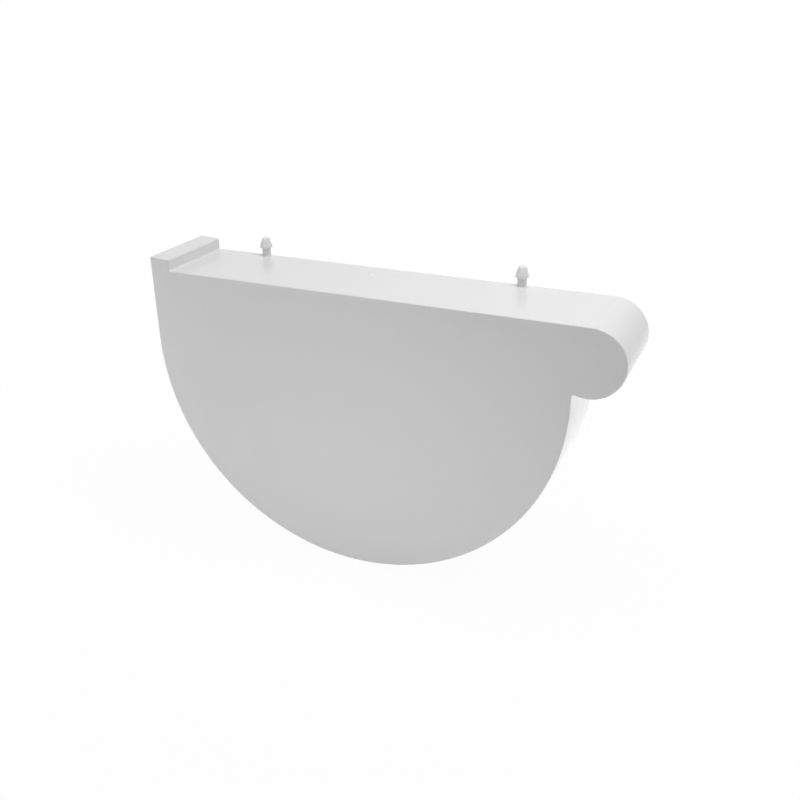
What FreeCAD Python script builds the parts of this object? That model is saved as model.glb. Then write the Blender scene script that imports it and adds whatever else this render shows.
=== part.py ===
import FreeCAD, Part
import math
import os

# End cap for a half-round roof gutter with a rolled bead along its front edge. One moulding, in
# millimetres. The cap is seen with its flat front plate towards the viewer: X runs to the right,
# where the bead is, Y runs back from the plate, the way the gutter lies, and Z is up. The origin is
# on the gutter's axis, at the inner face of the plate, where the end of the gutter butts.

# The gutter that the cap closes
gutter_inner_radius = 62.5
gutter_wall = 1.5
gutter_rear_edge = 1.8
gutter_bead_radius = 7.5
bead_reach = 6.5
bead_rise = 12.0
slide_gap = 0.3

# The moulded shell: walls, the flat front plate, and how far the skirt covers the gutter
wall = 2.2
plate = 2.2
cover = 25.0
lip_rise = 3.4
lip_slope = 0.4

# The rib inside that stands off the plate and holds the end of the gutter against the skirt
rib_wall = 1.6
rib_height = 8.0
rib_top = 6.0

# The two barbed pegs on the top, round in front and flat behind
peg_spacing = 85.0
peg_shift = 1.2
peg_from_rim = 0.65
peg_shank_radius = 1.35
peg_barb_radius = 1.95
peg_tip_radius = 1.1
peg_height = 5.7
peg_neck = 2.8
peg_undercut = 0.2
peg_rim = 0.4

# The shallow round mark that the mould's gate leaves on the top
mark_shift = -1.1
mark_from_rim = 6.2
mark_radius = 1.2
mark_depth = 0.15

# Rounded and broken edges
front_edge_radius = 0.4
lip_edge_radius = 0.35
bead_corner_radius = 0.8
rim_edge_radius = 0.25
lead_in = 0.5
rib_chamfer = 0.3
slot_corner_radius = 0.6
peg_tip_edge = 0.25

# Sizes that follow from the ones above
gutter_outer_radius = gutter_inner_radius + gutter_wall
side_radius = gutter_outer_radius + slide_gap + wall
bead_radius = gutter_bead_radius + slide_gap + wall
bead_x = gutter_outer_radius + bead_reach
top = bead_rise + bead_radius
lip_width = gutter_rear_edge + 2 * slide_gap + 2 * wall
lip_right = lip_width - side_radius
lip_top = top + lip_rise
rib_outer_radius = gutter_inner_radius - slide_gap
rib_inner_radius = rib_outer_radius - rib_wall
root_chamfer = slide_gap

# How near two coordinates are when they count as the same
same = 1e-4


def point(x, z, y=0.0):
    return FreeCAD.Vector(x, y, z)


def lip_roof(x, inset=0.0):
    """The point at x on the lip's roof, or on a roof set in from it. The roof slopes up from the
    lip's inner side to its outer side."""
    slope = lip_slope / lip_width
    return point(x, lip_top + slope * (lip_right - x) - inset * math.hypot(1, slope))


def line(start, end):
    return Part.LineSegment(start, end).toShape()


def arc(start, through, end):
    return Part.Arc(start, through, end).toShape()


def bead_corner():
    """Where the underside of the bead meets the side: on its straight part above the gutter's axis,
    or else on the half round below it. Returns the end of the half round and the corner."""
    distance = math.hypot(bead_x, bead_rise)
    cosine = (side_radius**2 + distance**2 - bead_radius**2) / (2 * side_radius * distance)
    angle = math.atan2(bead_rise, bead_x) - math.acos(cosine)
    if angle < 0:
        corner = point(side_radius * math.cos(angle), side_radius * math.sin(angle))
        return corner, corner
    drop = math.sqrt(bead_radius**2 - (bead_x - side_radius) ** 2)
    return point(side_radius, 0), point(side_radius, bead_rise - drop)


def outline():
    """The cap's outline as a face: half round, bead, flat top and raised lip."""
    side_end, corner = bead_corner()
    bead_right = point(bead_x + bead_radius, bead_rise)
    outer_corner, inner_corner = lip_roof(-side_radius), lip_roof(lip_right)
    edges = [
        line(outer_corner, point(-side_radius, 0)),
        arc(point(-side_radius, 0), point(0, -side_radius), side_end),
        arc(corner, bead_right, point(bead_x, top)),
        line(point(bead_x, top), point(lip_right, top)),
        line(point(lip_right, top), inner_corner),
        line(inner_corner, outer_corner),
    ]
    if corner != side_end:
        edges.insert(2, line(side_end, corner))
    return Part.Face(Part.Wire(edges))


def edges_in_plane(shape, y):
    """The edges that lie wholly in the plane Y = y."""
    return [e for e in shape.Edges if abs(e.BoundBox.YMin - y) < same and abs(e.BoundBox.YMax - y) < same]


def edges_along(shape, corners):
    """The straight edges along Y that pass through the given corners of a section."""
    found = []
    for e in shape.Edges:
        ends = [v.Point for v in e.Vertexes]
        if len(ends) != 2 or abs(ends[0].y - ends[1].y) < same:
            continue
        if any(all(math.hypot(p.x - c.x, p.z - c.z) < same for p in ends) for c in corners):
            found.append(e)
    return found


def block():
    """The cap's outside as a solid block, with its moulded edges rounded."""
    face = outline()
    face.translate(point(0, 0, -plate))
    solid = face.extrude(point(0, 0, plate + cover))
    corner = bead_corner()[1]
    lip_corners = [lip_roof(-side_radius), lip_roof(lip_right), point(lip_right, top)]
    solid = solid.makeFillet(lip_edge_radius, edges_along(solid, lip_corners))
    solid = solid.makeFillet(bead_corner_radius, edges_along(solid, [corner]))
    solid = solid.makeFillet(front_edge_radius, edges_in_plane(solid, -plate))
    return solid.makeFillet(rim_edge_radius, edges_in_plane(solid, cover))


def rib():
    """The rib: a band that follows the gutter's inside, with round ends."""
    middle_radius = rib_inner_radius + rib_wall / 2
    outer, inner = rib_outer_radius, rib_inner_radius
    edges = [
        line(point(-outer, rib_top), point(-outer, 0)),
        arc(point(-outer, 0), point(0, -outer), point(outer, 0)),
        line(point(outer, 0), point(outer, rib_top)),
        arc(point(outer, rib_top), point(middle_radius, rib_top + rib_wall / 2), point(inner, rib_top)),
        line(point(inner, rib_top), point(inner, 0)),
        arc(point(inner, 0), point(0, -inner), point(-inner, 0)),
        line(point(-inner, 0), point(-inner, rib_top)),
        arc(point(-inner, rib_top), point(-middle_radius, rib_top + rib_wall / 2), point(-outer, rib_top)),
    ]
    band = Part.Face(Part.Wire(edges)).extrude(point(0, 0, rib_height))
    return band.makeChamfer(rib_chamfer, edges_in_plane(band, rib_height))


def hollow():
    """The room inside the cap, open at the back: the outline set in by the wall, less the rib. The
    roots are broken only as far as the gutter's square end leaves room for."""
    inside = outline().makeOffset2D(-wall)
    past_rim = cover + plate
    solid = Part.Face(inside.Wires[0]).extrude(point(0, 0, past_rim))
    slot_corners = [lip_roof(x, wall) for x in (wall - side_radius, lip_right - wall)]
    solid = solid.makeFillet(slot_corner_radius, edges_along(solid, slot_corners))
    solid = solid.cut(rib())
    return solid.makeChamfer(root_chamfer, edges_in_plane(solid, 0))


def peg(x):
    """A barbed peg turned about its own upright axis. Its back is cut flush with the rim, where the
    two halves of the mould meet."""
    y = cover - peg_from_rim
    foot = top - wall / 2
    tip_z = top + peg_height
    barb_z = top + peg_neck - peg_undercut
    rim_z = barb_z + peg_rim
    slope = math.hypot(peg_barb_radius - peg_tip_radius, tip_z - rim_z)
    edge_r = peg_tip_radius + peg_tip_edge * (peg_barb_radius - peg_tip_radius) / slope
    edge_z = tip_z - peg_tip_edge * (tip_z - rim_z) / slope
    profile = [
        point(0, foot),
        point(peg_shank_radius, foot),
        point(peg_shank_radius, top + peg_neck),
        point(peg_barb_radius, barb_z),
        point(peg_barb_radius, rim_z),
        point(edge_r, edge_z),
        point(peg_tip_radius - peg_tip_edge, tip_z),
        point(0, tip_z),
        point(0, foot),
    ]
    turned = Part.Face(Part.makePolygon(profile)).revolve(point(0, 0), point(0, 1), 360)
    turned.translate(point(x, 0, y))
    width = 4 * peg_barb_radius
    past_rim = Part.makeBox(width, peg_barb_radius, tip_z, point(x - width / 2, 0, cover))
    return turned.cut(past_rim)


def gate_mark():
    """A ball whose cap sinks the round mark into the top."""
    ball_radius = (mark_radius**2 + mark_depth**2) / (2 * mark_depth)
    centre = point(mark_shift, top - mark_depth + ball_radius, cover - mark_from_rim)
    return Part.makeSphere(ball_radius, centre)


def mouth_edges(shell):
    """The edges of the hollow at the rim, which lie a wall's thickness inside the outline."""
    outside = outline().OuterWire
    found = []
    for e in edges_in_plane(shell, cover):
        middle = e.valueAt((e.FirstParameter + e.LastParameter) / 2)
        on_section = Part.Vertex(point(middle.x, middle.z))
        if outside.distToShape(on_section)[0] > wall / 2:
            found.append(e)
    return found


def end_cap():
    """The whole moulding: shell and rib, lead-in round the mouth, the two pegs and the gate mark."""
    shell = block().cut(hollow())
    shell = shell.makeChamfer(lead_in, mouth_edges(shell))
    pegs = [peg(peg_shift + side * peg_spacing / 2) for side in (-1, 1)]
    whole = shell.fuse(pegs).cut(gate_mark())
    return whole.removeSplitter()


os.makedirs("parts", exist_ok=True)
cap = end_cap()
print("solids", len(cap.Solids), "valid", cap.isValid(), "faces", len(cap.Faces))
print("volume", round(cap.Volume), "mm3, box", cap.BoundBox)
cap.Solids[0].exportStep("parts/end_cap.step")
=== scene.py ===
# %% [markdown]
# The white end cap of a half-round roof gutter, as a lesson in small steps. On a roof it is pushed
# over the open end of the gutter, with its flat plate outside, and keeps the water in.
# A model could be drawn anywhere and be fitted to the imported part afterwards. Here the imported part
# comes first, as a fixed frame: it says where everything is, in metres, with X across the gutter
# towards its bead, Y back along the gutter and Z up. All that follows is drawn in that same frame,
# so nothing has to be fitted to it.

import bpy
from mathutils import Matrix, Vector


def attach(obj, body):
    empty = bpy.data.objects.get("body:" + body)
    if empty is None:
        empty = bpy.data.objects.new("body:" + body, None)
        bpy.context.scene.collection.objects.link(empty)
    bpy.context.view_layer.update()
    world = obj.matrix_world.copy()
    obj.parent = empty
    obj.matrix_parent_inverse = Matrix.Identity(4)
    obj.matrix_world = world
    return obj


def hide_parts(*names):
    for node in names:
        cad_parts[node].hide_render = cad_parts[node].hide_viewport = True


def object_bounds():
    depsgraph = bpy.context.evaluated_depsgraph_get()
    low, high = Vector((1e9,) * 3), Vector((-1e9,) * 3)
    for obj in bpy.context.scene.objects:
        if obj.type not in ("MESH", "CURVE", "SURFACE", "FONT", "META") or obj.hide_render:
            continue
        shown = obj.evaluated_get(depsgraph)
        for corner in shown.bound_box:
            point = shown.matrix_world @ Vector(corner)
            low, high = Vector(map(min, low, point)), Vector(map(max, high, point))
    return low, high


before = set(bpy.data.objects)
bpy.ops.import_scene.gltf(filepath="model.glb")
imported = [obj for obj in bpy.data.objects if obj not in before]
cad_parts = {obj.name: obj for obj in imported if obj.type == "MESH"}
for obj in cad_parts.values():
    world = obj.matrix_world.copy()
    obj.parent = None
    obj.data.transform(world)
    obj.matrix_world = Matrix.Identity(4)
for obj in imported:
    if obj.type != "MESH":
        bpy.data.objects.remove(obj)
cad_low, cad_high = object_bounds()
print("pieces in the frame:", sorted(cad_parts))

# %% [markdown]
# Shapes are worked out with numpy, as whole arrays, and Blender's own modules make them meshes.
# Blender counts in metres, and plastics are drawn in millimetres. All could be written in metres,
# but sizes in millimetres read like the workshop drawing, so one factor goes between the two.

# %% Tools that the lesson uses
import math

import bpy
import numpy as np
from mathutils import Matrix, Vector
from mathutils.geometry import tessellate_polygon

MM = 0.001
print("Blender", bpy.app.version_string, "with", round(1 / MM), "millimetres to the metre")

# %% [markdown]
# The cap is one injection moulding, so a maker would draw one outline and give it an even wall.
# The sizes could all be typed in. The ones that reach the part's box are taken from the frame
# instead, so that they follow it. The others are the moulding's own sizes in millimetres, the same
# as in the workshop drawing. The lip stands above the top and rises a little towards its outside.

# %% Sizes of the moulding
side_radius = round(-cad_low.x / MM, 1)
plate = round(-cad_low.y / MM, 1)
cover = round(cad_high.y / MM, 1)
bead_radius = 10.0
bead_x = round(cad_high.x / MM, 1) - bead_radius
bead_z = 12.0
top = bead_z + bead_radius
wall = 2.2
lip_width = 6.8
lip_right = lip_width - side_radius
lip_rise = 3.4
lip_top = top + lip_rise
lip_outer_rise = 0.4
lip_slope = lip_outer_rise / lip_width
print("half round", side_radius, "plate", plate, "cover", cover, "bead at", bead_x, bead_z, "top", top)

# %% [markdown]
# Moulded plastic has no sharp edges. The Bevel modifier could round them all by one width, but on
# such a cap the front edge, the rim, the lip and the bead's foot each have their own. So each has
# its own size here and is drawn as part of the shape.

# %% Sizes of its rounded and broken edges
front_edge = 0.4
rim_edge = 0.25
lip_corner = 0.35
bead_corner = 0.8
slot_corner = 0.6
lead_in = 0.5
root = 0.3
print("front edge", front_edge, "rim", rim_edge, "lip", lip_corner, "bead's foot", bead_corner)
print("slot", slot_corner, "lead-in", lead_in, "root", root)

# %% [markdown]
# Seen from the front, the cap's outline is a half round, a round bead, a flat top and a lip. It
# could be a curve object, but then Blender would choose its points. Here it is stretches of line
# and arc, end to end. Each stretch leaves out its last point, because the next one starts there.
# A shape's outline has the same number of points at any depth, so that two of them can be joined
# point to point.


# %% Stretches of an outline
def straight(start, end, steps=1):
    """Points on a line: the start, plus even shares of the way to the end."""
    share = np.linspace(0, 1, steps, endpoint=False)[:, None]
    return np.asarray(start) + share * (np.asarray(end) - np.asarray(start))


def turn(centre, radius, start, end, steps):
    """Points on an arc: the centre, plus the radius times the cosine and sine of even angles."""
    angle = np.radians(np.linspace(start, end, steps, endpoint=False))
    return np.asarray(centre) + radius * np.column_stack([np.cos(angle), np.sin(angle)])


print("a quarter turn in three steps:", turn((0, 0), 1, 0, 90, 3).round(2).tolist())

# %% [markdown]
# The wall is even, so the hollow's outline is the outer one, set in by the wall. The Solidify
# modifier could give it, but it knows nothing of the slot's own wider corners under the lip.
# Set in by some depth, the outline is lines and arcs again: each wall moves in by the depth, a
# corner that points out gets a smaller radius, and one that points in gets a larger radius. So one
# function of the depth gives the outside, the rounded edges and the hollow alike.

# %% The cap's outline at any depth
HALF_ROUND_STEPS = 144
BEAD_STEPS = 64
CORNER_STEPS = 8


def lip_roof(x, depth):
    """The height of the lip's roof at x: from the lip's inner side it rises by the slope, and a roof
    set in by some depth lies lower by the depth times the root of one plus the slope squared."""
    return lip_top + lip_slope * (lip_right - x) - depth * math.hypot(1, lip_slope)


def outline(inset, corner, lip_foot, bead_foot):
    """The closed outline as (x, z) points. The walls lie `inset` inside the outer ones. The bead's
    foot is an arc that touches the side and the bead: its centre is its own radius outside the side
    and the two radii added up away from the bead's centre."""
    side = side_radius - inset
    bead = bead_radius - inset
    roof = top - inset
    lip_edge = lip_right - inset
    outer_x, inner_x = corner - side, lip_edge - corner
    outer_z, inner_z = lip_roof(outer_x, inset + corner), lip_roof(inner_x, inset + corner)
    tilt = math.atan(lip_slope)
    square = 90 - math.degrees(tilt)
    roof_start = (inner_x + corner * math.sin(tilt), inner_z + corner * math.cos(tilt))
    foot_x = side + bead_foot
    foot_z = bead_z - math.sqrt((bead + bead_foot) ** 2 - (bead_x - foot_x) ** 2)
    lean = math.degrees(math.atan2(bead_z - foot_z, bead_x - foot_x))
    stretches = [
        straight((-side, outer_z), (-side, 0)),
        turn((0, 0), side, 180, 360, HALF_ROUND_STEPS),
        straight((side, 0), (side, foot_z)),
        turn((foot_x, foot_z), bead_foot, 180, lean, CORNER_STEPS),
        turn((bead_x, bead_z), bead, lean - 180, 90, BEAD_STEPS),
        straight((bead_x, roof), (lip_edge + lip_foot, roof)),
        turn((lip_edge + lip_foot, roof + lip_foot), lip_foot, 270, 180, CORNER_STEPS),
        straight((lip_edge, roof + lip_foot), (lip_edge, inner_z)),
        turn((inner_x, inner_z), corner, 0, square, CORNER_STEPS),
        straight(roof_start, (outer_x, outer_z)),
        turn((outer_x, outer_z), corner, square, 180, CORNER_STEPS),
    ]
    return np.vstack(stretches)


print("points round the outline:", len(outline(0, lip_corner, lip_corner, bead_corner)))

# %% [markdown]
# The shell is that outline carried from the front plate's edge back to the rim and, set in by the
# wall, forward again to the plate's inner face. Extruding and bevelling a face could make it. Rings
# are used because each says how deep and how far back it lies, so every size stays a number, and
# a rounded edge is no more than rings on a quarter circle.

# %% Rings of the shell
EDGE_STEPS = 6


def outer_ring(inset, y):
    """A ring on the outside: corners that point out lose the inset, corners that point in gain it."""
    loop = outline(inset, lip_corner - inset, lip_corner + inset, bead_corner + inset)
    return np.column_stack([loop[:, 0], np.full(len(loop), y), loop[:, 1]])


def inner_ring(inset, y):
    """A ring in the hollow, whose corners are drawn at the wall's inner face: its slot corners gain
    what the ring lies nearer to the outside, and its arcs round the feet keep their centres."""
    loop = outline(inset, slot_corner + wall - inset, inset, inset)
    return np.column_stack([loop[:, 0], np.full(len(loop), y), loop[:, 1]])


quarter = np.radians(np.linspace(0, 90, EDGE_STEPS + 1))
front_rings = [
    outer_ring(front_edge * (1 - math.sin(a)), front_edge * (1 - math.cos(a)) - plate) for a in quarter
]
rim_rings = [
    outer_ring(rim_edge * (1 - math.cos(a)), cover - rim_edge * (1 - math.sin(a))) for a in quarter
]
hollow_rings = [
    inner_ring(wall - lead_in, cover),
    inner_ring(wall, cover - lead_in),
    inner_ring(wall, root),
    inner_ring(wall + root, 0.0),
]
shell_rings = np.stack(front_rings + rim_rings + hollow_rings)
print("shell rings and points:", shell_rings.shape[:2])

# %% [markdown]
# Inside, a rib stands off the plate and follows the gutter's inner wall, so that the gutter's end
# goes between rib and skirt, with a little room on both sides. It is a U-shaped band with round
# ends, broken at its tip and root. A curve with a bevel could make a band of one width, but not
# its wider foot and narrower tip, so the rib gets rings too.

# %% Rings of the rib
gutter_wall = 1.5
slide_gap = 0.3
rib_outer = side_radius - wall - slide_gap - gutter_wall - slide_gap
rib_wall = 1.6
rib_height = 8.0
rib_end_z = 6.0
rib_chamfer = 0.3
rib_middle = rib_outer - rib_wall / 2


def rib_ring(grow, y):
    """The band's outline, grown on all sides: both long arcs move apart and the ends get rounder."""
    far = rib_middle + rib_wall / 2 + grow
    near = rib_middle - rib_wall / 2 - grow
    end = rib_wall / 2 + grow
    stretches = [
        straight((-far, rib_end_z), (-far, 0)),
        turn((0, 0), far, 180, 360, HALF_ROUND_STEPS),
        straight((far, 0), (far, rib_end_z)),
        turn((rib_middle, rib_end_z), end, 0, 180, 2 * CORNER_STEPS),
        straight((near, rib_end_z), (near, 0)),
        turn((0, 0), near, 360, 180, HALF_ROUND_STEPS),
        straight((-near, 0), (-near, rib_end_z)),
        turn((-rib_middle, rib_end_z), end, 0, 180, 2 * CORNER_STEPS),
    ]
    loop = np.vstack(stretches)
    return np.column_stack([loop[:, 0], np.full(len(loop), y), loop[:, 1]])


rib_rings = np.stack([
    rib_ring(root, 0.0),
    rib_ring(0.0, root),
    rib_ring(0.0, rib_height - rib_chamfer),
    rib_ring(-rib_chamfer, rib_height),
])
print("rib rings and points:", rib_rings.shape[:2], "from radius", rib_outer - rib_wall, "to", rib_outer)

# %% [markdown]
# The plastic's skin is what lies between the rings. The bridge tool could join two of them in edit
# mode, but it needs them selected by hand. Index arithmetic alone does the same for all of them at
# once. Flat ends are filled by Blender's own polygon filler, which also leaves out a hole, such as
# the rib's foot in the plate's inner face.


# %% From rings to faces
def bands(rings, points, first=0):
    """Quads between each ring and the next: point j of ring i, the same point of the next ring, its
    neighbour j + 1 there, and the neighbour in ring i. The last point's neighbour is the first."""
    i, j = np.meshgrid(np.arange(rings - 1), np.arange(points), indexing="ij")
    k = (j + 1) % points
    here, ahead = i * points, (i + 1) * points
    quads = np.stack([here + j, ahead + j, ahead + k, here + k], axis=-1)
    return (first + quads).reshape(-1, 4).tolist()


def flat_fill(loops, firsts, facing):
    """Triangles that fill the first loop and leave out the others, turned to face a direction: one
    whose cross product of two sides points against it has its corners put in the other order."""
    triangles = np.array(tessellate_polygon([[Vector(p) for p in loop] for loop in loops]))
    numbers = np.concatenate([first + np.arange(len(loop)) for loop, first in zip(loops, firsts)])
    places = np.vstack(loops)[triangles]
    normals = np.cross(places[:, 1] - places[:, 0], places[:, 2] - places[:, 0])
    turned = normals @ np.asarray(facing) < 0
    triangles[turned] = triangles[turned][:, ::-1]
    return numbers[triangles].tolist()


print("the four faces between two rings of four points:", bands(2, 4))

# %% [markdown]
# On the real cap the rib grows out of the plate with no seam. Two objects and a boolean could give
# that, but the plate's inner face is filled round the rib's foot anyway, so shell and rib are one
# closed skin from the start. Its volume is measured at once, because only a closed skin whose
# faces all point outwards gives the right one.


# %% The shell with its rib
def solid_object(name, points, faces):
    """A mesh object at the origin, from points in millimetres, each times a thousandth."""
    mesh = bpy.data.meshes.new(name)
    mesh.from_pydata((np.asarray(points) * MM).tolist(), [], faces)
    mesh.update()
    made = bpy.data.objects.new(name, mesh)
    bpy.context.scene.collection.objects.link(made)
    return made


CM3_PER_M3 = 1e6


def volume_cm3(mesh):
    """The volume inside a closed mesh: a sixth of the triple products of its triangles' corners,
    added up. It comes out positive only where the faces point outwards."""
    mesh.calc_loop_triangles()
    corners = np.empty(len(mesh.loop_triangles) * 3, np.int32)
    mesh.loop_triangles.foreach_get("vertices", corners)
    places = np.empty(len(mesh.vertices) * 3)
    mesh.vertices.foreach_get("co", places)
    a, b, c = places.reshape(-1, 3)[corners.reshape(-1, 3)].transpose(1, 0, 2)
    return float(np.einsum("ij,ij->i", a, np.cross(b, c)).sum() / 6 * CM3_PER_M3)


shell_count, shell_points = shell_rings.shape[:2]
rib_count, rib_points = rib_rings.shape[:2]
floor_first = (shell_count - 1) * shell_points
rib_first = shell_count * shell_points
tip_first = rib_first + (rib_count - 1) * rib_points
shell_faces = (
    flat_fill([shell_rings[0]], [0], (0, -1, 0))
    + bands(shell_count, shell_points)
    + flat_fill([shell_rings[-1], rib_rings[0]], [floor_first, rib_first], (0, 1, 0))
    + bands(rib_count, rib_points, rib_first)
    + flat_fill([rib_rings[-1]], [tip_first], (0, 1, 0))
)
shell_places = np.vstack([shell_rings.reshape(-1, 3), rib_rings.reshape(-1, 3)])
cap = solid_object("end_cap_moulding", shell_places, shell_faces)
print("shell volume in cm3:", round(volume_cm3(cap.data), 2))

# %% [markdown]
# Two small pegs stand on the top at its rear edge. A slanted shoulder under the head makes the barb
# that holds them in their holes, and the tip is rounded. The Screw modifier could turn such a
# profile all the way round, but the pegs' backs are cut flush with the rim, where the two halves
# of the mould meet. So each ring is a circle that stops at the flat back. Here the backs lie a hair
# in front of the rim: two faces in one plane would leave a doubled face behind when the pegs are
# joined to the shell.

# %% A peg's profile
peg_height = 5.7
shank_radius = 1.35
shank_height = 2.8
barb_radius = 1.95
barb_bottom = 2.6
barb_top = 3.0
head_lean = 17.4
tip_round = 0.45
TIP_STEPS = 5


def peg_profile():
    """Radius and height above the top, from the tip to the foot. The head leans in from the barb. Its
    corner with the flat tip is rounded by an arc that starts where the flat ends: inside the corner
    by the arc's radius times the tangent of half the turn."""
    lean = math.radians(head_lean)
    corner = barb_radius - (peg_height - barb_top) * math.tan(lean)
    flat = corner - tip_round * math.tan(math.radians(90 - head_lean) / 2)
    tip = turn((flat, peg_height - tip_round), tip_round, 90, head_lean, TIP_STEPS)
    tip_end = (flat + tip_round * math.cos(lean), peg_height - tip_round + tip_round * math.sin(lean))
    side = [
        tip_end,
        (barb_radius, barb_top),
        (barb_radius, barb_bottom),
        (shank_radius, shank_height),
        (shank_radius, -wall / 2),
    ]
    return np.vstack([tip, side])


print("points of a peg's profile:", len(peg_profile()), "flat tip's radius", round(peg_profile()[0, 0], 3))

# %% [markdown]
# The same profile is needed twice, so a function makes a peg wherever it is asked to. An Array
# modifier could repeat one, but the two pegs are not centred on the cap, and two plain calls say
# where each one stands.

# %% The two barbed pegs
peg_spacing = 85.0
peg_shift = 1.2
peg_from_rim = 0.65
back_gap = 0.02
PEG_STEPS = 48


def peg_ring(radius, z, x):
    """A circle about the peg's axis without the part behind its flat back: an arc round the front
    from one end of the flat to the other. Those ends are where the circle reaches the back."""
    reach = math.degrees(math.asin((peg_from_rim - back_gap) / radius))
    axis = (x, cover - peg_from_rim)
    loop = turn(axis, radius, 180 - reach, 360 + reach, PEG_STEPS)
    flat_end = turn(axis, radius, 360 + reach, 180 - reach, 1)
    loop = np.vstack([loop, flat_end])
    return np.column_stack([loop, np.full(len(loop), z)])


def peg(name, x):
    """The peg's rings from the tip down to its foot, with both ends filled: each point of the profile
    is a ring of that radius, as far above the top as the profile says."""
    rings = np.stack([peg_ring(radius, top + height, x) for radius, height in peg_profile()])
    count, points = rings.shape[:2]
    faces = bands(count, points)
    faces += flat_fill([rings[0]], [0], (0, 0, 1))
    faces += flat_fill([rings[-1]], [(count - 1) * points], (0, 0, -1))
    return solid_object(name, rings.reshape(-1, 3), faces)


pegs = [peg("left_peg", peg_shift - peg_spacing / 2), peg("right_peg", peg_shift + peg_spacing / 2)]
print("peg volumes in cm3:", [round(volume_cm3(p.data), 4) for p in pegs])

# %% [markdown]
# Plastic enters the mould through a gate, which leaves a shallow round mark between the pegs. A
# bump in the material could draw it, but then it would have no edge for the light to catch. So it
# is pressed in by a lens: the lowest part of a ball, closed by a flat lid above the surface. The
# first ring is not quite a point, because a ring of no size would have no faces.

# %% The gate's mark
mark_shift = -1.1
mark_from_rim = 6.2
mark_centre = (mark_shift, cover - mark_from_rim)
mark_radius = 1.2
mark_depth = 0.15
mark_ball = (mark_radius**2 + mark_depth**2) / (2 * mark_depth)
MARK_RINGS = 10
MARK_REACH = (0.05, 1.5)


def mark_lens():
    """Rings of a ball's underside, from a small share of the mark's radius to past its edge: at
    distance d from its axis the ball's radius, less the root of its square less the square of d,
    is how far the surface has risen above the lowest point."""
    distance = np.linspace(*MARK_REACH, MARK_RINGS) * mark_radius
    rise = mark_ball - np.sqrt(mark_ball**2 - distance**2)
    rings = [
        np.column_stack([turn(mark_centre, d, 360, 0, PEG_STEPS), np.full(PEG_STEPS, z)])
        for d, z in zip(distance, top - mark_depth + rise)
    ]
    count, points = len(rings), len(rings[0])
    faces = bands(count, points)
    faces += flat_fill([rings[0]], [0], (0, 0, -1))
    faces += flat_fill([rings[-1]], [(count - 1) * points], (0, 0, 1))
    return solid_object("mark_lens", np.vstack(rings), faces)


lens = mark_lens()
print("lens volume in cm3:", round(volume_cm3(lens.data), 4))

# %% [markdown]
# One moulding is one skin. The pegs could simply stand in the top, but their feet would stay inside
# the plastic as hidden faces. So they are joined to the shell and the lens is cut from it, with
# exact booleans, and the helpers go.


# %% One moulding
def combine(base, others, operation):
    """The base's mesh after a boolean with each of the others, which are then removed: a union keeps
    all that lies in either solid, and a difference what lies in the base and not in the other."""
    for other in others:
        step = base.modifiers.new(operation.lower(), "BOOLEAN")
        step.operation = operation
        step.solver = "EXACT"
        step.object = other
    bpy.context.view_layer.update()
    seen = base.evaluated_get(bpy.context.evaluated_depsgraph_get())
    result = bpy.data.meshes.new_from_object(seen)
    base.modifiers.clear()
    base.data = result
    for other in others:
        bpy.data.objects.remove(other)


combine(cap, pegs, "UNION")
combine(cap, [lens], "DIFFERENCE")
cap.data.name = cap.name
print("moulding volume in cm3:", round(volume_cm3(cap.data), 2), "faces:", len(cap.data.polygons))

# %% [markdown]
# Light has to run smoothly round the half round and the bead, though both are made of flat faces.
# More faces could do that. Smooth shading does it with the faces that are there, and edges that
# really turn a corner stay crisp. Weighted normals let the flat faces stay flat right up to their
# rounded edges.

# %% Smooth shading
CRISP_ANGLE = 32
cap.data.shade_smooth()
cap.data.set_sharp_from_angle(angle=math.radians(CRISP_ANGLE))
weighted = cap.modifiers.new("flat_faces_stay_flat", "WEIGHTED_NORMAL")
weighted.keep_sharp = True
print("modifiers on the moulding:", [m.name for m in cap.modifiers])

# %% [markdown]
# The real cap is one rigid piece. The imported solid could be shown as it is, but its facets are
# coarser than this mesh's. So the moulding stands for it, rides on the row's one body and goes
# wherever that body goes, and names the finish that the record gives it.

# %% Join it to the frame
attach(cap, "root")
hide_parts("end_cap")
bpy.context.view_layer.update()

# %% [markdown]
# A material is a tree of nodes. Each node could be set up line by line. One small helper that adds
# a node with its settings and links lets a finish be read like a recipe instead. Colours are
# written as on a screen, and one function turns them to the linear light that the renderer counts.


# %% Helpers for materials
def linear(hex_colour):
    """Linear red, green and blue, and an alpha of one, from an sRGB hex colour: each channel is
    divided by 12.92 when it is dark, or else raised to 2.4 after its offset is taken off."""
    channels = np.array([int(hex_colour[i : i + 2], 16) for i in (1, 3, 5)]) / 255
    dark = channels / 12.92
    light = ((channels + 0.055) / 1.055) ** 2.4
    return (*np.where(channels <= 0.04045, dark, light).tolist(), 1.0)


def node(tree, kind, settings=None, links=None):
    """Adds a shader node. Settings are properties, or inputs by name or number. Links are outputs
    to join to its inputs, by name or number too."""
    made = tree.nodes.new(kind)
    for name, value in (settings or {}).items():
        if isinstance(name, int) or name in made.inputs:
            made.inputs[name].default_value = value
        else:
            setattr(made, name, value)
    for name, source in (links or {}).items():
        tree.links.new(source, made.inputs[name])
    return made


def new_material(name):
    """A node material whose tree is empty, and that tree."""
    material = bpy.data.materials.new(name)
    material.use_nodes = True
    tree = material.node_tree
    tree.nodes.clear()
    return material, tree


print("a middle grey in linear light:", round(linear("#808080")[0], 3))

# %% [markdown]
# The cap is unplasticised PVC, coloured with titanium white, so it is opaque and close to neutral,
# and a polished mould gives it a gloss a little softer than glass. Its refractive index is 1.53.
# One even colour and gloss could do, but would look like a drawing. What the eye gets here is an
# even pale body, a bright sheen at grazing angles, and on close view a faint waviness where the
# plastic cooled against the steel. Noise nodes give that without a picture, and they read the
# object's own coordinates, so the pattern stays on the cap.

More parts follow.
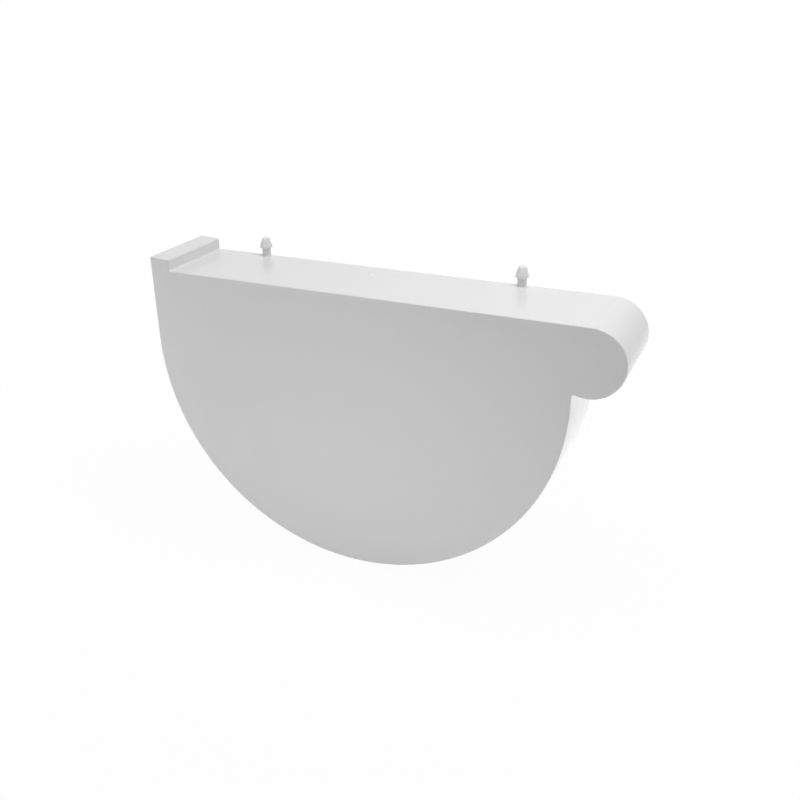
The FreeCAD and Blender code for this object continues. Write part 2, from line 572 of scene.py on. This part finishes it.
# %% White PVC-U from a polished mould
PVC_WHITE = "#EDEDED"
PVC_SHADED = "#EBEBEB"
PVC_IOR = 1.53
PVC_ROUGHNESS = (0.20, 0.26)
CLOUD_MM = 28.0
CLOUD_DETAIL = 3.0
WAVE_MM = 7.0
WAVE_DETAIL = 1.0
WAVE_HEIGHT_MM = 0.004
# The Mix node has sockets of the same name for numbers, vectors and colours, so the ones for
# colours are given by their numbers.
MIX_A, MIX_B, MIX_RESULT = 6, 7, 2


def moulded_pvc():
    """Principled plastic. Slow clouds tint the colour by under one percent and vary the gloss, and
    a gentle wave a few thousandths of a millimetre high bends the reflections. The scale of each
    noise is one over its real size in metres."""
    material, tree = new_material("moulded_white_pvc_u")
    place = node(tree, "ShaderNodeTexCoord").outputs["Object"]
    cloud = node(
        tree,
        "ShaderNodeTexNoise",
        {"Scale": 1 / (CLOUD_MM * MM), "Detail": CLOUD_DETAIL},
        {"Vector": place},
    )
    wave = node(
        tree,
        "ShaderNodeTexNoise",
        {"Scale": 1 / (WAVE_MM * MM), "Detail": WAVE_DETAIL},
        {"Vector": place},
    )
    tint = node(
        tree,
        "ShaderNodeMix",
        {"data_type": "RGBA", MIX_A: linear(PVC_SHADED), MIX_B: linear(PVC_WHITE)},
        {"Factor": cloud.outputs["Fac"]},
    )
    gloss = node(
        tree,
        "ShaderNodeMapRange",
        {"To Min": PVC_ROUGHNESS[0], "To Max": PVC_ROUGHNESS[1]},
        {"Value": cloud.outputs["Fac"]},
    )
    relief = node(
        tree,
        "ShaderNodeBump",
        {"Distance": WAVE_HEIGHT_MM * MM, "Strength": 1.0},
        {"Height": wave.outputs["Fac"]},
    )
    plastic = node(
        tree,
        "ShaderNodeBsdfPrincipled",
        {"IOR": PVC_IOR},
        {
            "Base Color": tint.outputs[MIX_RESULT],
            "Roughness": gloss.outputs["Result"],
            "Normal": relief.outputs["Normal"],
        },
    )
    node(tree, "ShaderNodeOutputMaterial", {}, {"Surface": plastic.outputs["BSDF"]})
    return material


cap.data.materials.clear()
cap.data.materials.append(moulded_pvc())
print("material:", cap.data.materials[0].name)

# %% [markdown]
# The cap is seen on plain white with no horizon. A white floor under a bright sky could nearly do
# it, but so much light would wash out the shading. So the camera and the reflections see a white
# glow, and light itself meets a matt floor and a dim sky. This helper tells the two apart.

# %% What looks and what lights
SEEING_RAYS = ("Is Camera Ray", "Is Glossy Ray", "Is Transmission Ray")


def seen_or_mirrored(tree):
    """One for rays from the camera, from gloss or through glass, and nought for light itself: the
    largest of the Light Path node's answers for the three."""
    path = node(tree, "ShaderNodeLightPath")
    largest = path.outputs[SEEING_RAYS[0]]
    for ray in SEEING_RAYS[1:]:
        step = node(tree, "ShaderNodeMath", {"operation": "MAXIMUM"}, {0: largest, 1: path.outputs[ray]})
        largest = step.outputs[0]
    return largest


print("rays that see the glow:", SEEING_RAYS)

# %% [markdown]
# The floor is plain, matt and pale. Cutting the cap out and laying it on white could replace it,
# but then there would be no shadow at all. Near the cap the glow lets a trace of the shadow show,
# and further out it takes over, so the floor runs into the white background.

# %% The floor's finish
FLOOR_GREY = "#F4F4F4"
FLOOR_GLOW = (0.96, 1.0)
GLOW_RADIUS_MM = (110, 300)


def floor_material():
    """A matt pale floor, mixed with a white glow where it is looked at or mirrored. The glow's share
    grows in a straight line with the distance from the cap, between the two radii."""
    material, tree = new_material("pale_floor")
    place = node(tree, "ShaderNodeTexCoord").outputs["Object"]
    away = node(tree, "ShaderNodeVectorMath", {"operation": "LENGTH"}, {0: place})
    growth = node(
        tree,
        "ShaderNodeMapRange",
        {
            "From Min": GLOW_RADIUS_MM[0] * MM,
            "From Max": GLOW_RADIUS_MM[1] * MM,
            "To Min": FLOOR_GLOW[0],
            "To Max": FLOOR_GLOW[1],
        },
        {"Value": away.outputs["Value"]},
    )
    matt = node(tree, "ShaderNodeBsdfDiffuse", {"Color": linear(FLOOR_GREY)})
    glow = node(tree, "ShaderNodeEmission", {"Strength": 1.0})
    share = node(
        tree,
        "ShaderNodeMath",
        {"operation": "MULTIPLY"},
        {0: seen_or_mirrored(tree), 1: growth.outputs["Result"]},
    )
    blend = node(
        tree,
        "ShaderNodeMixShader",
        {},
        {0: share.outputs[0], 1: matt.outputs[0], 2: glow.outputs[0]},
    )
    node(tree, "ShaderNodeOutputMaterial", {}, {"Surface": blend.outputs[0]})
    return material


pale_floor = floor_material()
print("floor material:", pale_floor.name)

# %% [markdown]
# In use the cap hangs on its gutter. Here its lowest point is a hair above the floor. A round or
# curved backdrop could be built, but one large flat face is enough, because the glow hides its far
# edge.

# %% The floor
FLOOR_REACH = 30.0
FLOOR_GAP_MM = 0.2
floor_z = cad_low.z / MM - FLOOR_GAP_MM
corners = np.array([(-1, -1), (1, -1), (1, 1), (-1, 1)]) * FLOOR_REACH / MM
floor = solid_object("floor", np.column_stack([corners, np.full(len(corners), floor_z)]), [[0, 1, 2, 3]])
floor.data.materials.append(pale_floor)
print("floor at z in mm:", round(floor_z, 2))

# %% [markdown]
# The sky stands for the white room round the cap. A picture of a real room could light it, but its
# windows would show in the gloss. This one is a full white for all that looks at it, and a dim
# even light for the surfaces.

# %% The background
AMBIENT = 0.25
world = bpy.data.worlds.new("white_studio")
bpy.context.scene.world = world
world.use_nodes = True
world.node_tree.nodes.clear()
strength = node(
    world.node_tree,
    "ShaderNodeMapRange",
    {"To Min": AMBIENT, "To Max": 1.0},
    {"Value": seen_or_mirrored(world.node_tree)},
)
sky = node(
    world.node_tree,
    "ShaderNodeBackground",
    {"Color": (1, 1, 1, 1)},
    {"Strength": strength.outputs["Result"]},
)
node(world.node_tree, "ShaderNodeOutputWorld", {}, {"Surface": sky.outputs["Background"]})
print("world:", world.name, "with ambient light", AMBIENT)

# %% [markdown]
# Soft light comes from a broad panel overhead and a smaller one nearer on the right, so the top is
# paler than the front plate and the bead's upper side is the palest. A white card close above the
# floor at the right throws light up on to the skirt and under the bead. The front plate gets only
# fill, from a lamp on the left and a narrow beam low in front, so it falls off towards the bead.
# One more fill reaches into the hollow from behind. A sun could replace the panels, but its shadows
# would be hard. The fills and the card have no mirror image in the glossy plastic.

# %% Light panels
# What the lamps look at, and where the card lies, in metres.
CENTRE = (0.0, 0.0, 0.0)
PLATE_LEFT = (-0.03, 0.0, -0.02)
PLATE_LOW_RIGHT = (0.015, 0.0, -0.025)
HOLLOW = (0.0, 0.0, -0.02)
CARD = (0.12, 0.03, -0.064)
OVER_CARD = (0.12, 0.03, 0.0)


def panel(name, place, aim, size, watts, spread=180, mirrored=True):
    """A square area light. It looks from its place towards its aim, both in metres. Its beam opens
    by the spread, in degrees. The camera doesn't see it, and gloss doesn't where mirrored is off."""
    data = bpy.data.lights.new(name, "AREA")
    data.shape = "SQUARE"
    data.size = size
    data.energy = watts
    data.spread = math.radians(spread)
    lamp = bpy.data.objects.new(name, data)
    lamp.visible_camera = False
    lamp.visible_glossy = mirrored
    lamp.location = place
    lamp.rotation_euler = (Vector(aim) - Vector(place)).to_track_quat("-Z", "Y").to_euler()
    bpy.context.scene.collection.objects.link(lamp)


def lamp_place(azimuth, elevation, distance):
    """A place round the origin: azimuth 0 is in front of the plate, and 90 is on the bead's side.
    It is the distance times the sine and minus cosine of the azimuth, both times the cosine of the
    elevation, and the sine of the elevation."""
    a, e = np.radians([azimuth, elevation])
    towards = (math.sin(a) * math.cos(e), -math.cos(a) * math.cos(e), math.sin(e))
    return tuple(float(distance * v) for v in towards)


panel("overhead", lamp_place(0, 90, 0.60), CENTRE, size=0.4, watts=1.29)
panel("right", lamp_place(90, 60, 0.30), CENTRE, size=0.15, watts=0.27)
panel("card", CARD, OVER_CARD, size=0.06, watts=0.053, mirrored=False)
panel("left_fill", lamp_place(300, 5, 0.25), PLATE_LEFT, size=0.10, watts=0.10, mirrored=False)
panel(
    "front_beam",
    lamp_place(20, -5, 0.50),
    PLATE_LOW_RIGHT,
    size=0.06,
    watts=0.005,
    spread=22,
    mirrored=False,
)
panel("back_fill", lamp_place(190, 5, 0.50), HOLLOW, size=0.2, watts=0.25, mirrored=False)

# %% [markdown]
# The camera looks down on the front plate from its right. It could be dragged into place by eye.
# Here it is given by the angles round the object, the distance to the point that it aims at, and a
# slight roll, because each of these can be changed by itself. The plain view transform keeps white
# as white.

# %% Camera
AZIMUTH = 24.65
ELEVATION = 24.64
ROLL = -0.81
DISTANCE_MM = 271.86
AIM_MM = (17.0, -2.2, -7.57)
LENS_MM = 42.66
NEAREST_M = 0.01
FARTHEST_M = 100.0


def camera_turn(azimuth, elevation, roll):
    """The camera's turn as a matrix: its columns are right, up and back. Back points from the aim
    to the camera, right is level, and both right and up are rolled about back."""
    a, e, r = np.radians([azimuth, elevation, roll])
    back = np.array([math.sin(a) * math.cos(e), -math.cos(a) * math.cos(e), math.sin(e)])
    level = np.cross((0, 0, 1), back)
    level /= np.linalg.norm(level)
    upright = np.cross(back, level)
    right = math.cos(r) * level + math.sin(r) * upright
    up = math.cos(r) * upright - math.sin(r) * level
    return np.column_stack([right, up, back])


turned = camera_turn(AZIMUTH, ELEVATION, ROLL)
lens_data = bpy.data.cameras.new("camera")
lens_data.lens = LENS_MM
lens_data.clip_start = NEAREST_M
lens_data.clip_end = FARTHEST_M
camera = bpy.data.objects.new("camera", lens_data)
camera_place = (np.array(AIM_MM) + DISTANCE_MM * turned[:, 2]) * MM
camera.matrix_world = Matrix.Translation(camera_place.tolist()) @ Matrix(turned.tolist()).to_4x4()
bpy.context.scene.collection.objects.link(camera)
bpy.context.scene.camera = camera
bpy.context.scene.view_settings.view_transform = "Standard"
print("camera at", [round(v, 4) for v in camera.location])
